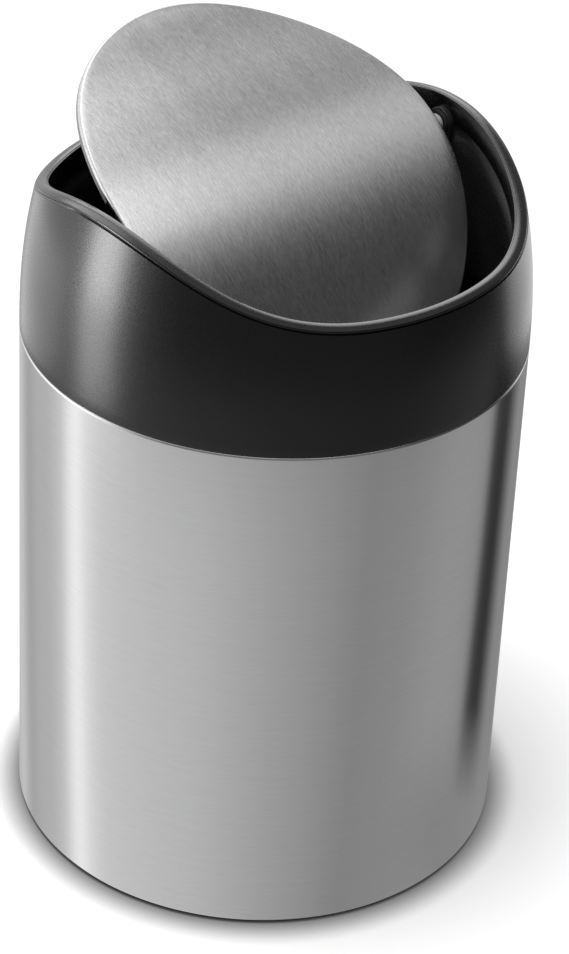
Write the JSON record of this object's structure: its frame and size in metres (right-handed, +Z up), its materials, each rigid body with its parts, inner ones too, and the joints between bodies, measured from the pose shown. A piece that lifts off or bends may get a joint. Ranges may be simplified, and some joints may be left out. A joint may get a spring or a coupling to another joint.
{
  "type": "countertop trash can with swing lid",
  "caption": "Small round countertop trash can with a brushed steel body, a black lift-off collar with a wavy rim, and a steel flap that swings both ways on pivot pins.",
  "frame": {"origin": "centre of the can's base, on the surface it stands on", "axes": "+Z up, X along the flap's pivot axis, front towards -Y: the front edge of the flap is dipped and its back edge is raised at rest"},
  "size_m": [0.12, 0.12, 0.1959],
  "materials": {
    "brushed_steel": "fine brushed, satin",
    "plain_steel": "plain rolled",
    "black_plastic": "satin, finely textured",
    "grey_plastic": "satin moulded",
    "bearing_plastic": "smooth moulded, black",
    "soft_rubber": "matt"
  },
  "bodies": {
    "can": {"body_shell": "brushed_steel", "floor_pan": "plain_steel", "base_ring": "black_plastic", "foot_pads": "soft_rubber"},
    "lid": {"collar": "black_plastic", "guard_ring": "black_plastic", "ring_screws": "plain_steel", "skirt_pads": "soft_rubber", "pivot_bush_left": "bearing_plastic", "pivot_bush_right": "bearing_plastic"},
    "flap": {"flap_skin": "brushed_steel", "flap_carrier": "grey_plastic", "pivot_pin_left": "plain_steel", "pivot_pin_right": "plain_steel", "counterweight": "plain_steel", "weight_cover": "grey_plastic", "weight_screws": "plain_steel"}
  },
  "joints": [
    {"name": "lid_lift", "type": "slide", "parent": "can", "child": "lid", "axis": [0, 0, 1], "range_m": [0, 0.03]},
    {"name": "flap_swing", "type": "hinge", "parent": "lid", "child": "flap", "pos_m": [0, 0, 0.1713], "axis": [1, 0, 0], "range_deg": [-110, 40]}
  ]
}
